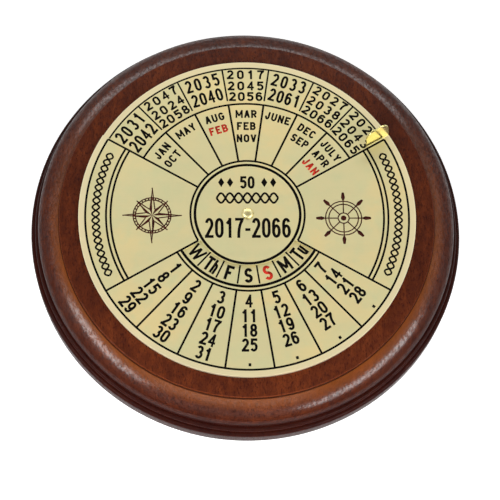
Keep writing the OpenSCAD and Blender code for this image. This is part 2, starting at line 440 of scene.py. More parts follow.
def dress(piece, material, body, slot, *nodes):
    """Gives a piece its finish and its body, and hides the CAD nodes it stands for."""
    piece.data.materials.clear()
    piece.data.materials.append(material)
    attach(piece, body)
    if nodes:
        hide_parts(*nodes)
    return piece


print("Outlines can be turned, and pieces dressed")

# %% Profile of the base
FILLET = 1.2 * MM
PLINTH = 4.4 * MM
SHOULDER = 0.9 * MM
BEAD = 0.8 * MM
QUIRK = 0.3 * MM
GROOVE = 0.8 * MM
LIP_OUT = 0.45 * MM
LIP_UP = 1.5 * MM
OVOLO_TURN = 60
EDGE = 0.3 * MM
SOFT = 0.08 * MM
POCKET_GAP = 1.5 * MM

bead_r = BASE_R - SHOULDER - QUIRK - BEAD
groove_r = bead_r - BEAD
lip_r = groove_r + LIP_OUT
bead_z = FOOT_Z + PLINTH + SHOULDER + BEAD
groove_z = bead_z + BEAD + GROOVE
lip_z = groove_z + LIP_UP
ovolo_w = (lip_r - FIELD_R) / (1 - math.cos(math.radians(OVOLO_TURN)))
ovolo_h = (FIELD_Z - FILLET - lip_z) / math.sin(math.radians(OVOLO_TURN))
pocket_r = TAIL_WASHER_R + POCKET_GAP
pocket_z = TAIL_Z - POCKET_GAP

base_profile = [(0, FOOT_Z), (BASE_R - EDGE, FOOT_Z)]
base_profile += arc((BASE_R - EDGE, FOOT_Z + EDGE), (EDGE, EDGE), -90, 0, 5)
base_profile += arc((BASE_R - SHOULDER, FOOT_Z + PLINTH), (SHOULDER, SHOULDER), 0, 90, 12)
base_profile += [(bead_r, bead_z - BEAD)]
base_profile += arc((bead_r, bead_z), (BEAD, BEAD), -75, 90, 16)
base_profile += [(groove_r, bead_z + BEAD), (groove_r, groove_z), (lip_r - SOFT, groove_z)]
base_profile += arc((lip_r - SOFT, groove_z + SOFT), (SOFT, SOFT), -90, 0, 3)
base_profile += arc((lip_r - ovolo_w, lip_z), (ovolo_w, ovolo_h), 0, OVOLO_TURN, 32)
base_profile += arc((FIELD_R - EDGE, FIELD_Z - EDGE), (EDGE, EDGE), 0, 90, 5)
base_profile += [(pocket_r, FIELD_Z), (pocket_r, pocket_z), (0, pocket_z)]

base = turned("turned_base", base_profile)
dress(base, WOOD, "base", "stained_wood", "wooden_base")

# %% [markdown]
# ## Brass
#
# Both discs are sheet brass with a satin finish under a thin clear coat: paler and less yellow
# than polished brass, with soft patches where the metal is a little warmer or cooler. The rim
# outside the printed circle is a touch paler, and the cut edge is the palest, partly burnished
# metal and partly a painted highlight along the rim. The tab has been bent and polished by
# fingers, so its finish is smoother and more golden: a mask on height does that, as the tab is
# all of the plate that stands above its face.

# %% Brass finishes
CUT_EDGE = 0.14 * MM
TAB_ROOT = 0.25 * MM
PALE_BRASS = linear(232, 222, 172)
WARM_BRASS = linear(239, 221, 165)
COOL_BRASS = linear(225, 221, 172)
RIM_BRASS = linear(244, 230, 188)
# Colour of the cut edge: partly burnished metal, partly a painted highlight
BURNISHED_AND_LIT_EDGE_BRASS = linear(255, 244, 212)
GOLD_BRASS = linear(236, 224, 152)


def satin_brass():
    """Pale satin sheet brass, paler at the rim and polished on the tab."""
    brass = Finish("satin brass", Metallic=1.0, Coat_Weight=0.12, Coat_Roughness=0.2)
    patches = brass.noise(46, 2)
    spots = brass.noise(210, 3)
    tone = brass.blend(patches.above(0.56, 0.24), PALE_BRASS, WARM_BRASS)
    tone = brass.blend(spots.above(0.58, 0.3) * 0.8, tone, COOL_BRASS)
    radius = brass.radius()
    rim = radius.above(LINE_R, 0.3 * MM)
    tone = brass.blend(rim * 0.8, tone, RIM_BRASS)
    # The palest cut edge is partly burnished metal and partly a painted highlight
    edge = radius.above(DISC_R - CUT_EDGE, 0.1 * MM)
    tone = brass.blend(edge, tone, BURNISHED_AND_LIT_EDGE_BRASS)
    tab = brass.along("Z").above(PLATE_TOP + TAB_ROOT, 0.3 * MM)
    tone = brass.blend(tab, tone, GOLD_BRASS)
    brushed = brass.noise(1400, 2, (0.06, 1, 1))
    roughness = 0.57 + (patches - 0.5) * 0.06 + (brushed - 0.5) * 0.08 + edge * 0.2 - tab * 0.34
    grain = brass.bump(brushed * (1 - tab), 0.0016 * MM)
    grain = brass.bump(spots, 0.004 * MM, grain)
    return brass.set(Base_Color=tone, Roughness=roughness, Normal=grain)


def bright_brass():
    """Polished brass of the rivet, with a few fine rub marks."""
    brass = Finish("bright brass", Metallic=1.0)
    rubs = brass.noise(900, 2, (1, 0.2, 1))
    tone = brass.blend(rubs.above(0.55, 0.3), linear(246, 234, 176), linear(236, 220, 150))
    return brass.set(Base_Color=tone, Roughness=0.34 + rubs * 0.1, Normal=brass.bump(rubs, 0.002 * MM))


SATIN_BRASS = satin_brass()
BRIGHT_BRASS = bright_brass()
print("Made", SATIN_BRASS.name, "and", BRIGHT_BRASS.name)

# %% [markdown]
# ## The two brass discs
#
# The CAD discs already have the right outline, with the window, the notch, the bent tab and the
# shallow grooves that the enamel fills. What they lack is the tiny rounding that every cut sheet
# has, which catches a line of light along the rim. So each disc is copied, its loose triangles
# are merged, and the sharp edges of its outline alone get a small bevel. The grooves stay crisp,
# because the enamel fills them to the brim.

# %% Copy a disc and soften its outline
SHEET_EDGE = 0.09 * MM
SHEET_MERGE = 0.001 * MM
# Walls of the outline are as high as the sheet is thick, and walls of the grooves are lower
WALL_RISE = 0.9 * (PLATE_TOP - PLATE_BOTTOM)
SHEET_SMOOTH = math.radians(40)
SHARP_CORNER = math.radians(50)
SAME_PLANE = math.radians(0.5)


def rise(face):
    """How far a face reaches from its lowest to its highest point."""
    heights = [corner.co.z for corner in face.verts]
    return max(heights) - min(heights)


def cut_sheet(name, node):
    """A copy of a CAD disc whose outline, but not its grooves, has a small bevel."""
    piece = frame["nodes"][node].copy()
    piece.data = piece.data.copy()
    piece.name = name
    bpy.context.collection.objects.link(piece)
    only(piece)
    bpy.ops.object.mode_set(mode="EDIT")
    bpy.ops.mesh.select_all(action="SELECT")
    bpy.ops.mesh.remove_doubles(threshold=SHEET_MERGE)
    bpy.ops.mesh.dissolve_limited(angle_limit=SAME_PLANE)
    bpy.ops.mesh.select_all(action="DESELECT")
    bpy.ops.mesh.select_mode(type="EDGE")
    shape = bmesh.from_edit_mesh(piece.data)
    for edge in shape.edges:
        sharp = len(edge.link_faces) == 2 and edge.calc_face_angle() > SHARP_CORNER
        edge.select_set(sharp and max(rise(face) for face in edge.link_faces) > WALL_RISE)
    bmesh.update_edit_mesh(piece.data)
    bpy.ops.mesh.bevel(offset=SHEET_EDGE, segments=2, affect="EDGES", clamp_overlap=True)
    bpy.ops.object.mode_set(mode="OBJECT")
    bpy.ops.object.shade_smooth_by_angle(angle=SHEET_SMOOTH)
    level = piece.modifiers.new("level faces", "WEIGHTED_NORMAL")
    level.keep_sharp = True
    level.weight = 100
    bpy.ops.object.modifier_apply(modifier=level.name)
    print(f"Cut {name}: {len(piece.data.polygons)} faces")
    return piece


dress(cut_sheet("fixed_disc", "year_disc"), SATIN_BRASS, "base", "satin_brass", "year_disc")
dress(cut_sheet("turning_plate", "month_plate"), SATIN_BRASS, "dial", "satin_brass", "month_plate")

# %% [markdown]
# ## Rivet
#
# The plate turns on a brass rivet with a low domed head. It is turned from an outline, just as
# the base is, with its shank and its peened tail, so that it is whole in an exploded view too.
# Its head is small but it is the only polished thing in the middle of the dial, and a dome of
# many faces is what makes its highlight round.

# %% Turned rivet
SHANK_R = 1.0 * MM
TAIL_R = 1.6 * MM
TAIL_H = 0.7 * MM
HEAD_H = 0.7 * MM
head_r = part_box("pivot_rivet")[1].x
head_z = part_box("pivot_rivet")[1].z - HEAD_H

rivet_profile = arc((0, TAIL_Z + TAIL_H), (TAIL_R, TAIL_H), -90, 0, 10)
rivet_profile += [(SHANK_R, TAIL_Z + TAIL_H), (SHANK_R, head_z)]
rivet_profile += arc((0, head_z), (head_r, HEAD_H), 0, 90, 20)
dress(turned("turned_rivet", rivet_profile, 96), BRIGHT_BRASS, "base", "bright_brass", "pivot_rivet")

# %% [markdown]
# ## Enamel
#
# The print is paint baked into shallow etched lines: nearly black with a warm cast, red for
# Sundays and leap years, and dark brown for the two ornaments. It is slightly uneven where it
# was wiped level, so its gloss varies more than its colour does. The lines of both discs are
# CAD nodes already, flush in their grooves, and only need the finish.

# %% Enamel finishes
def enamel(name, dark, light):
    """Baked paint whose gloss is a little patchy."""
    paint = Finish(name, Specular_IOR_Level=0.05)
    wiped = paint.noise(800, 2)
    tone = paint.blend(wiped.above(0.5, 0.5), linear(*dark), linear(*light))
    return paint.set(Base_Color=tone, Roughness=0.42 + wiped * 0.2, Normal=paint.bump(wiped, 0.004 * MM))


BLACK = enamel("black enamel", (8, 5, 4), (15, 10, 7))
RED = enamel("red enamel", (196, 44, 30), (212, 62, 44))
BROWN = enamel("brown enamel", (58, 22, 17), (74, 32, 24))
for node in ("year_disc_lines", "month_plate_lines"):
    frame["nodes"][node].material_slots[0].material = BLACK
print("Made", ", ".join(paint.name for paint in (BLACK, RED, BROWN)))

# %% [markdown]
# ## Letters drawn with one pen
#
# The numbers on the dial have strokes of one width with square ends, like letters that are
# routed or screen-printed from a stencil. Blender's own font has strokes that swell and narrow,
# so each sign is drawn here as the path of a pen instead. A path is a flat curve, and a small
# rectangle, the chisel, is swept along it: a flat curve mitres its corners, so the stroke keeps
# its width. The strokes of one sign overlap, and a Boolean union in edit mode makes them one
# closed solid. Every sign is drawn once for each size and then copied to its places.

# %% Pen paths in a box from 0 to 1
BOW_STEP = 15
FEWEST_STEPS = 4


def bow(x, y, half_width, half_height, start, end):
    """A curved stroke: part of an ellipse, from one angle to another."""
    steps = max(FEWEST_STEPS, round(abs(end - start) / BOW_STEP))
    return arc((x, y), (half_width, half_height), start, end, steps)


def ring(x, y, half_width, half_height):
    """A closed curved stroke. Its first and last points are the same."""
    return bow(x, y, half_width, half_height, 0, 360)


ROUND = bow(0.5, 0.7, 0.5, 0.3, 0, 180) + bow(0.5, 0.3, 0.5, 0.3, 180, 360) + [(1, 0.7)]
SIX = [ring(0.5, 0.31, 0.5, 0.31), bow(0.5, 0.69, 0.5, 0.31, 28, 180) + [(0, 0.31)]]
BOWL = bow(0.5, 0.73, 0.5, 0.27, 90, -90)
PATHS = {
    "0": [ROUND],
    "1": [[(0.6, 0), (0.6, 1)], [(0.08, 0.74), (0.6, 0.96)]],
    "2": [bow(0.5, 0.72, 0.48, 0.28, 165, -25) + [(0.03, 0.01)], [(0, 0), (1, 0)]],
    "3": [bow(0.48, 0.75, 0.46, 0.25, 155, -90), bow(0.48, 0.25, 0.52, 0.26, 90, -155)],
    "4": [[(0.76, 0), (0.76, 1)], [(0.72, 0.98), (0.02, 0.29)], [(0, 0.28), (1, 0.28)]],
    "5": [[(0.94, 1), (0.13, 1), (0.07, 0.52)], bow(0.47, 0.32, 0.53, 0.32, 140, -150)],
    "6": SIX,
    "7": [[(0, 1), (1, 1)], bow(1.35, 0, 1, 1, 112, 180)],
    "8": [ring(0.5, 0.755, 0.43, 0.245), ring(0.5, 0.265, 0.5, 0.265)],
    "9": [[(1 - x, 1 - y) for x, y in path] for path in SIX],
    "-": [[(0, 0.4), (1, 0.4)]],
    ".": [[(0.5, 0), (0.5, 0.16)]],
    "A": [[(0, 0), (0.44, 1)], [(0.56, 1), (1, 0)], [(0.18, 0.32), (0.82, 0.32)]],
    "B": [[(0, 0.51), (0, 1)] + bow(0.5, 0.755, 0.43, 0.245, 90, -90) + [(0, 0.51)],
          [(0, 0), (0, 0.51)] + bow(0.5, 0.255, 0.5, 0.255, 90, -90) + [(0, 0)]],
    "C": [bow(0.5, 0.7, 0.5, 0.3, 18, 180) + bow(0.5, 0.3, 0.5, 0.3, 180, 342)],
    "D": [[(0, 0), (0, 1)] + bow(0.4, 0.7, 0.6, 0.3, 90, 0) + bow(0.4, 0.3, 0.6, 0.3, 0, -90) + [(0, 0)]],
    "E": [[(1, 1), (0, 1), (0, 0), (1, 0)], [(0, 0.52), (0.93, 0.52)]],
    "F": [[(1, 1), (0, 1), (0, 0)], [(0, 0.5), (0.9, 0.5)]],
    "G": [bow(0.5, 0.7, 0.5, 0.3, 18, 180) + bow(0.5, 0.3, 0.5, 0.3, 180, 360) + [(1, 0.46), (0.55, 0.46)]],
    "J": [[(0.9, 1)] + bow(0.45, 0.3, 0.45, 0.3, 0, -180)],
    "L": [[(0, 1), (0, 0), (0.9, 0)]],
    "M": [[(0, 0), (0, 1)], [(1, 0), (1, 1)], [(0.04, 0.97), (0.49, 0.2)], [(0.96, 0.97), (0.51, 0.2)]],
    "N": [[(0, 0), (0, 1)], [(1, 0), (1, 1)], [(0.03, 0.97), (0.97, 0.03)]],
    "O": [ROUND],
    "P": [[(0, 0.46), (0, 1)] + BOWL + [(0, 0.46)], [(0, 0), (0, 0.6)]],
    "R": [[(0, 0.46), (0, 1)] + BOWL + [(0, 0.46)], [(0, 0), (0, 0.6)], [(0.5, 0.46), (0.97, 0)]],
    "S": [bow(0.5, 0.745, 0.47, 0.255, 22, 270) + bow(0.5, 0.245, 0.5, 0.245, 90, -158)],
    "T": [[(0, 1), (1, 1)], [(0.5, 0), (0.5, 1)]],
    "U": [[(0, 1)] + bow(0.5, 0.3, 0.5, 0.3, 180, 360) + [(1, 1)]],
    "V": [[(0, 1), (0.46, 0)], [(0.54, 0), (1, 1)]],
    "W": [[(0, 1), (0.24, 0)], [(0.26, 0), (0.49, 0.95)], [(0.51, 0.95), (0.74, 0)], [(0.76, 0), (1, 1)]],
    "Y": [[(0, 1), (0.5, 0.45)], [(1, 1), (0.5, 0.45)], [(0.5, 0.48), (0.5, 0)]],
    "h": [[(0, 0), (0, 1)], bow(0.5, 0.45, 0.5, 0.25, 180, 0) + [(1, 0)]],
    "u": [[(0, 0.7)] + bow(0.5, 0.25, 0.5, 0.25, 180, 360), [(1, 0.7), (1, 0)]],
}
print(len(PATHS), "signs can be drawn")

# %% Pen paths as curves
SAME_PLACE = 0.001


def closes(path):
    """Says whether a path ends where it starts."""
    return math.dist(path[0], path[-1]) < SAME_PLACE


def flat_curve(name, paths):
    """A flat curve of straight stretches. A path that ends where it starts is closed."""
    data = bpy.data.curves.new(name, "CURVE")
    data.dimensions = "2D"
    data.fill_mode = "NONE"
    for path in paths:
        moves = [point for before, point in zip(path, path[1:]) if math.dist(before, point) > SAME_PLACE]
        closed = closes(path)
        points = path[:1] + (moves[:-1] if closed else moves)
        spline = data.splines.new("POLY")
        spline.points.add(len(points) - 1)
        spline.use_cyclic_u = closed
        for knot, (x, y) in zip(spline.points, points):
            knot.co = (x, y, 0, 1)
    thing = bpy.data.objects.new(name, data)
    bpy.context.collection.objects.link(thing)
    return thing


closed_signs = [mark for mark, paths in PATHS.items() if all(closes(path) for path in paths)]
print("Signs that are rings only:", " ".join(closed_signs))

# %% Strokes as closed solids
INK_DEEP = 0.03
INK_PROUD = 0.02
SAME_CORNER = 0.0005
TEMPLATES = []


def united():
    """Merges the overlapping shells of the active object into one closed solid."""
    bpy.ops.object.mode_set(mode="EDIT")
    bpy.ops.mesh.select_all(action="SELECT")
    bpy.ops.mesh.remove_doubles(threshold=SAME_CORNER)
    bpy.ops.mesh.normals_make_consistent(inside=False)
    bpy.ops.mesh.intersect_boolean(operation="UNION", use_self=True, solver="EXACT")
    bpy.ops.mesh.select_all(action="SELECT")
    bpy.ops.mesh.dissolve_limited(angle_limit=SAME_PLANE)
    bpy.ops.object.mode_set(mode="OBJECT")


def drawn(name, paths, stroke, fills=()):
    """Strokes and filled outlines, in millimetres, made into one closed solid."""
    low, high = -INK_DEEP, INK_PROUD
    half = stroke / 2
    tip = [(-half, low), (half, low), (half, high), (-half, high), (-half, low)]
    chisel = flat_curve("chisel", [tip])
    parts = []
    if paths:
        lines = flat_curve(name, paths)
        lines.data.bevel_mode = "OBJECT"
        lines.data.bevel_object = chisel
        lines.data.use_fill_caps = True
        parts.append(lines)
    if fills:
        patches = flat_curve(name + " fill", fills)
        patches.data.fill_mode = "BOTH"
        patches.data.extrude = (high - low) / 2
        patches.location.z = (high + low) / 2
        parts.append(patches)
    for part in parts:
        only(part)
        bpy.ops.object.convert(target="MESH")
        bpy.ops.object.transform_apply(location=True, rotation=False, scale=False)
    bpy.ops.object.select_all(action="DESELECT")
    for part in parts:
        part.select_set(True)
    bpy.context.view_layer.objects.active = parts[0]
    if len(parts) > 1:
        bpy.ops.object.join()
    bpy.data.objects.remove(chisel)
    solid = bpy.context.object
    united()
    bpy.context.collection.objects.unlink(solid)
    TEMPLATES.append(solid)
    return solid


print(f"Print stands {INK_PROUD} mm proud of the brass and reaches {INK_DEEP} mm into it")

# %% The alphabet, drawn as it is asked for
# Width of a letter, and of the pen that draws it, where they differ from the others of its size
LETTER_WIDTHS = {"J": 0.85, "L": 0.85, "E": 0.92, "F": 0.92, "M": 1.3, "W": 1.7, "-": 0.6}
THINNER = {"M": 0.9, "W": 0.78, "4": 0.86}
BOX_EDGE = 0.005
DRAWN = {}


def capped(path, points, reach):
    """Runs a stroke on, by half its width, where it ends at the edge of its letter's box."""
    if closes(path):
        return points
    for end, inner in ((0, 1), (-1, -2)):
        x, y = path[end]
        if min(x, 1 - x, y, 1 - y) < BOX_EDGE:
            here, there = Vector(points[end]), Vector(points[inner])
            way = (here - there).normalized()
            points[end] = tuple(here + way * reach * (1 - min(abs(way.x), abs(way.y))))
    return points


def sign(mark, height, width, stroke):
    """One sign of the alphabet, drawn when it is first asked for, centred on its box."""
    key = (mark, height, width, stroke)
    if key not in DRAWN:
        stroke *= THINNER.get(mark, 1)
        wide, high = width - stroke, height - stroke
        paths = []
        for path in PATHS[mark]:
            points = [((x - 0.5) * wide, (y - 0.5) * high) for x, y in path]
            paths.append(capped(path, points, stroke / 2))
        DRAWN[key] = drawn("sign", paths, stroke)
    return DRAWN[key]


print("Letters of their own width:", " ".join(LETTER_WIDTHS), "and with a thinner pen:", " ".join(THINNER))

# %% [markdown]
# ## Placing the print
#
# Text on a dial is laid out cell by cell. Within a cell a word has a straight baseline, and the
# cell as a whole is turned round the middle of the dial. So a place is a radius and a clockwise
# angle, and says whether the tops of the letters point outwards, as over the years, or inwards,
# as under the window. Copies of the drawn signs are moved there, each with its own mesh, and the
# signs of one colour on one disc are joined into a single piece of print. Print is measured in
# millimetres: a size is a sign's height, its width and the width of the pen, and each row of a
# cell has a radius.

# %% Lay words out on the dial
def spot(radius, angle, inwards=False, x=0.0):
    """The matrix that takes a sign, in millimetres, to its place in a cell of the dial."""
    turn = Matrix.Rotation(math.radians(180 - angle if inwards else -angle), 4, "Z")
    shift = Matrix.Translation((x, -radius if inwards else radius, 0))
    return Matrix.Scale(MM, 4) @ turn @ shift


def word(text, size, gap, radius, angle, inwards=False):
    """The signs of one word with the matrices of their places. Letters differ in width."""
    height, width, stroke = size
    widths = [width * LETTER_WIDTHS.get(mark, 1) for mark in text]
    left = -(sum(widths) + gap * (len(text) - 1)) / 2
    marks = []
    for mark, wide in zip(text, widths):
        marks.append((sign(mark, height, wide, stroke), spot(radius, angle, inwards, left + wide / 2)))
        left += wide + gap
    return marks


def printed(name, marks, face_z, paint, body, slot):
    """Copies the signs to their places on a face and joins them into one piece."""
    bpy.ops.object.select_all(action="DESELECT")
    for drawing, matrix in marks:
        copy = drawing.copy()
        copy.data = drawing.data.copy()
        copy.data.transform(Matrix.Translation((0, 0, face_z)) @ matrix)
        bpy.context.collection.objects.link(copy)
        copy.select_set(True)
        bpy.context.view_layer.objects.active = copy
    bpy.ops.object.join()
    piece = bpy.context.object
    piece.name = name
    piece.data.name = name
    dress(piece, paint, body, slot)
    print(f"Printed {name}: {len(marks)} signs, {len(piece.data.polygons)} faces")
    return piece


IN_PLACE = Matrix.Scale(MM, 4)
print("Top of the dial, 10 mm out:", [round(part / MM, 1) for part in spot(10, 0).translation])

# %% [markdown]
# ## Years
#
# A year is put over a month by turning the plate. The years fall into seven classes by the
# weekday of New Year's Day, and a leap year moves on by a day after February, which is why its
# January and February are printed again in red. The classes are worked out from the calendar
# itself, so there is no table to copy wrongly: each of the 21 cells takes two or three years of
# its class. Cells with three years use a smaller size of figures. The seven cells that show when
# the plate is at rest are given, and the others fill up evenly.

# %% Sort the years into cells
FIRST_YEAR = 2017
LAST_YEAR = 2066
SHOWN = [
    [2031, 2042], [2047, 2024, 2058], [2035, 2040], [2017, 2045, 2056],
    [2033, 2061], [2027, 2038, 2066], [2026, 2043, 2065],
]


def new_years_day(year):
    """Weekday of 1 January, with Sunday as 0. A leap year counts as if it began a day later."""
    passed = year - 1
    weekday = (1 + passed + passed // 4 - passed // 100 + passed // 400) % DAYS
    leap = year % 4 == 0 and (year % 100 != 0 or year % 400 == 0)
    return (weekday + leap) % DAYS


def cell_of(year):
    """Class of a year: the visible cell, counted clockwise from the left, that it may stand in."""
    return (MIDDLE - new_years_day(year)) % DAYS


cells = SHOWN + [[] for place in range(CELLS - DAYS)]
for year in range(FIRST_YEAR, LAST_YEAR + 1):
    if not any(year in years for years in cells):
        hidden = [cells[cell_of(year) + later] for later in (DAYS, 2 * DAYS)]
        min(hidden, key=len).append(year)
strangers = [year for place, years in enumerate(cells) for year in years if cell_of(year) != place % DAYS]
print("Years placed:", sum(len(years) for years in cells), "in a wrong class:", strangers)

# %% Print the years on the fixed disc
# A row is its radius and the gap between its figures
TWO_ROWS = {"size": (4.15, 2.0, 0.7), "rows": ((43.95, 0.8), (39.0, 0.5))}
THREE_ROWS = {"size": (2.95, 2.05, 0.62), "rows": ((44.9, 1.0), (41.2, 0.85), (37.7, 0.6))}

year_marks = []
for place, years in enumerate(cells):
    style = TWO_ROWS if len(years) == 2 else THREE_ROWS
    for year, (radius, gap) in zip(years, style["rows"]):
        year_marks += word(str(year), style["size"], gap, radius, (place - MIDDLE) * PITCH)
printed("year_numbers", year_marks, YEAR_TOP, BLACK, "base", "black_enamel")

# %% [markdown]
# ## Weekdays
#
# The fixed disc also carries the weekdays in a small ring, and the window of the turning plate
# shows seven of them at a time. The week is printed three times round the ring, so that some
# seven days are always in the window, and Sunday is red.

# %% Print the weekdays on the fixed disc
WEEKDAY_R = 18.75
WEEKDAY_SIZE = (4.45, 2.45, 0.86)
NARROW_T = (4.45, 2.1, 0.78)
NARROW_T_X = -0.85
SMALL_LETTER = (4.45, 1.6, 0.72)
SMALL_LETTER_X = 1.2
WEEK = ["W", "Tu", "M", "Sunday", "S", "F", "Th"]
FIRST_DAY_ANGLE = 180 + MIDDLE * PITCH

weekday_marks = []
sunday_marks = []
for place in range(CELLS):
    day = WEEK[place % DAYS]
    angle = FIRST_DAY_ANGLE + place * PITCH
    if len(day) == 2:
        weekday_marks.append((sign("T", *NARROW_T), spot(WEEKDAY_R, angle, True, NARROW_T_X)))
        small_place = spot(WEEKDAY_R, angle, True, SMALL_LETTER_X)
        weekday_marks.append((sign(day[1], *SMALL_LETTER), small_place))
    else:
        marks = sunday_marks if day == "Sunday" else weekday_marks
        marks += word(day[0], WEEKDAY_SIZE, 0, WEEKDAY_R, angle, True)
printed("weekday_letters", weekday_marks, YEAR_TOP, BLACK, "base", "black_enamel")
printed("sunday_letters", sunday_marks, YEAR_TOP, RED, "base", "red_enamel")

# %% [markdown]
# ## Months
#
# The seven columns of months on the turning plate stand under the notch. Months that begin on
# the same weekday share a column, and the two red ones, marked with a star below, are for leap
# years.

# %% Print the months on the turning plate
MONTH_SIZE = (2.55, 1.65, 0.56)
MONTH_GAP = 0.42
MONTH_ROWS = (31.7, 27.8, 23.85)
MONTHS = [["JAN", "OCT"], ["MAY"], ["AUG", "*FEB"], ["MAR", "FEB", "NOV"], ["JUNE"],
          ["DEC", "SEP"], ["JULY", "APR", "*JAN"]]

month_marks = []
leap_marks = []
for column, months in enumerate(MONTHS):
    for radius, month in zip(MONTH_ROWS, months):
        marks = leap_marks if month.startswith("*") else month_marks
        marks += word(month.strip("*"), MONTH_SIZE, MONTH_GAP, radius, (column - MIDDLE) * PITCH)
printed("month_names", month_marks, PLATE_TOP, BLACK, "dial", "black_enamel")
printed("leap_month_names", leap_marks, PLATE_TOP, RED, "dial", "red_enamel")

# %% [markdown]
# ## Dates
#
# The dates run outwards from the window in seven columns, with their tops towards the middle,
# so that they stand upright for someone who looks at the window. The four free places of the
# last row have a small square each.

# %% Print the dates on the turning plate
DATE_SIZE = (3.9, 2.1, 0.72)
DATE_GAP = 0.32
DATE_ROWS = (26.7, 31.1, 35.4, 39.75, 44.05)
DOT_SIZE = (3.85, 1.0, 0.78)
LAST_DATE = 31

date_marks = []
for column in range(DAYS):
    angle = 180 + (MIDDLE - column) * PITCH
    for week, radius in enumerate(DATE_ROWS):
        date = 1 + column + DAYS * week
        if date <= LAST_DATE:
            date_marks += word(str(date), DATE_SIZE, DATE_GAP, radius, angle, True)
        else:
            date_marks += word(".", DOT_SIZE, 0, radius, angle, True)
printed("date_numbers", date_marks, PLATE_TOP, BLACK, "dial", "black_enamel")

# %% [markdown]
# ## Medallion
#
# The medallion in the middle says for how many years and for which ones the calendar holds.
# Between these lines, and along the two side bands, the print is a twisted cord: two waves that
# cross each other. It is an old border pattern and has about the weight of a line of capitals.
# Each wave is one pen path, worked out by a sine.

# %% A twisted cord
CORD_STEPS = 16


def cord(length, amplitude, waves):
    """Two crossing waves along a straight line, as pen paths in millimetres."""
    paths = []
    for side in (-1, 1):
        parts = [step / (CORD_STEPS * waves) for step in range(CORD_STEPS * waves + 1)]
        heights = [side * amplitude * math.sin(math.tau * waves * part / 2) for part in parts]
        paths.append([(length * (part - 0.5), height) for part, height in zip(parts, heights)])
    return paths


def wrapped(paths, radius, angle):
    """Lays straight paths round a circle, with their middle at a clockwise angle."""
    bent_paths = []
    for path in paths:
        rounded = [(radius + y, math.radians(90 - angle) - x / radius) for x, y in path]
        bent_paths.append([(reach * math.cos(turn), reach * math.sin(turn)) for reach, turn in rounded])
    return bent_paths


def shifted(paths, x, y):
    """Paths moved to another place."""
    return [[(px + x, py + y) for px, py in path] for path in paths]


print("Each wave of a cord has", CORD_STEPS // 2, "steps between two crossings")

# %% Print the medallion
# Places are measured up and across from the middle of the dial
SPAN_SIZE = (3.9, 2.0, 0.72)
SPAN_GAP = 0.3
SPAN_Y = 9.8
RANGE_SIZE = (6.15, 2.5, 0.84)
RANGE_GAP = 0.42
RANGE_Y = -4.4
CORD_LENGTH = 17.9
CORD_RISE = 1.5
CORD_WAVES = 7
CORD_PEN = 0.6
CORD_Y = 4.9
DIAMOND = [(-0.9, 0), (0, -1.5), (0.9, 0), (0, 1.5), (-0.9, 0)]
DIAMOND_PLACES = (5.0, 7.6)

medallion = word(str(LAST_YEAR - FIRST_YEAR + 1), SPAN_SIZE, SPAN_GAP, SPAN_Y, 0)
medallion += word(f"{FIRST_YEAR}-{LAST_YEAR}", RANGE_SIZE, RANGE_GAP, RANGE_Y, 0)
ribbon = drawn("cord", shifted(cord(CORD_LENGTH, CORD_RISE, CORD_WAVES), 0, CORD_Y), CORD_PEN)
diamonds = [shifted([DIAMOND], side * x, SPAN_Y)[0] for side in (-1, 1) for x in DIAMOND_PLACES]
gems = drawn("gems", [], CORD_PEN, diamonds)
medallion += [(ribbon, IN_PLACE), (gems, IN_PLACE)]
printed("medallion_print", medallion, PLATE_TOP, BLACK, "dial", "black_enamel")

# %% Print the two side bands
BAND_R = 44.0
BAND_SPAN = math.radians(51)
BAND_RISE = 1.0
BAND_WAVES = 19
BAND_PEN = 0.54

band_marks = []
for angle in (90, 270):
    straight = cord(BAND_R * BAND_SPAN, BAND_RISE, BAND_WAVES)
    border = drawn("border", wrapped(straight, BAND_R, angle), BAND_PEN)
    band_marks.append((border, IN_PLACE))
printed("band_print", band_marks, PLATE_TOP, BLACK, "dial", "black_enamel")

# %% [markdown]
# ## Compass rose and ship's wheel
#
# Two dark brown ornaments fill the side panels. They are plain drawing-office designs: a compass
# rose of eight points, each half filled, on a ring, and a ship's wheel with eight spokes. Both
# are strokes of the same pen, with filled outlines where the print is solid.

# %% A compass rose
ROSE_POINTS = 8
ROSE_RINGS = (0.56, 0.64)
ROSE_SHORT_POINT = 0.74
ROSE_WAIST = 0.24
ROSE_TICKS = 32


def polar(reach, bearing, aside=0):
    """A point at a distance and a clockwise bearing, moved to the right of that line."""
    angle, across = math.radians(bearing), math.radians(bearing + 90)
    x = reach * math.sin(angle) + aside * math.sin(across)
    return (x, reach * math.cos(angle) + aside * math.cos(across))


def compass_rose(tall):
    """Pen paths and filled halves of an eight-pointed rose."""
    lines = [ring(0, 0, part * tall, part * tall) for part in ROSE_RINGS]
    fills = []
    for point in range(ROSE_POINTS):
        bearing = point * 360 / ROSE_POINTS
        tip = polar(tall if point % 2 == 0 else ROSE_SHORT_POINT * tall, bearing)
        left, right = (polar(ROSE_WAIST * tall, bearing + side * 180 / ROSE_POINTS) for side in (-1, 1))
        fills.append([(0, 0), left, tip, (0, 0)])
        lines.append([tip, right])
    for tick in range(ROSE_TICKS):
        lines.append([polar(part * tall, tick * 360 / ROSE_TICKS) for part in ROSE_RINGS])
    return lines, fills


print("The rose has", len(compass_rose(1)[0]), "lines and", len(compass_rose(1)[1]), "filled halves")

# %% A ship's wheel
SPOKES = 8
SPOKE = (0.2, 0.8)
WHEEL_RINGS = (0.66, 0.54, 0.2)
WHEEL_HUB = 0.1
HANDLE_HALF = 0.055
# How far out each point of a handle is, and how wide the handle is there
HANDLE = [(0.7, 0.6), (0.8, 1.3), (0.92, 1.0), (1.0, 0.7)]


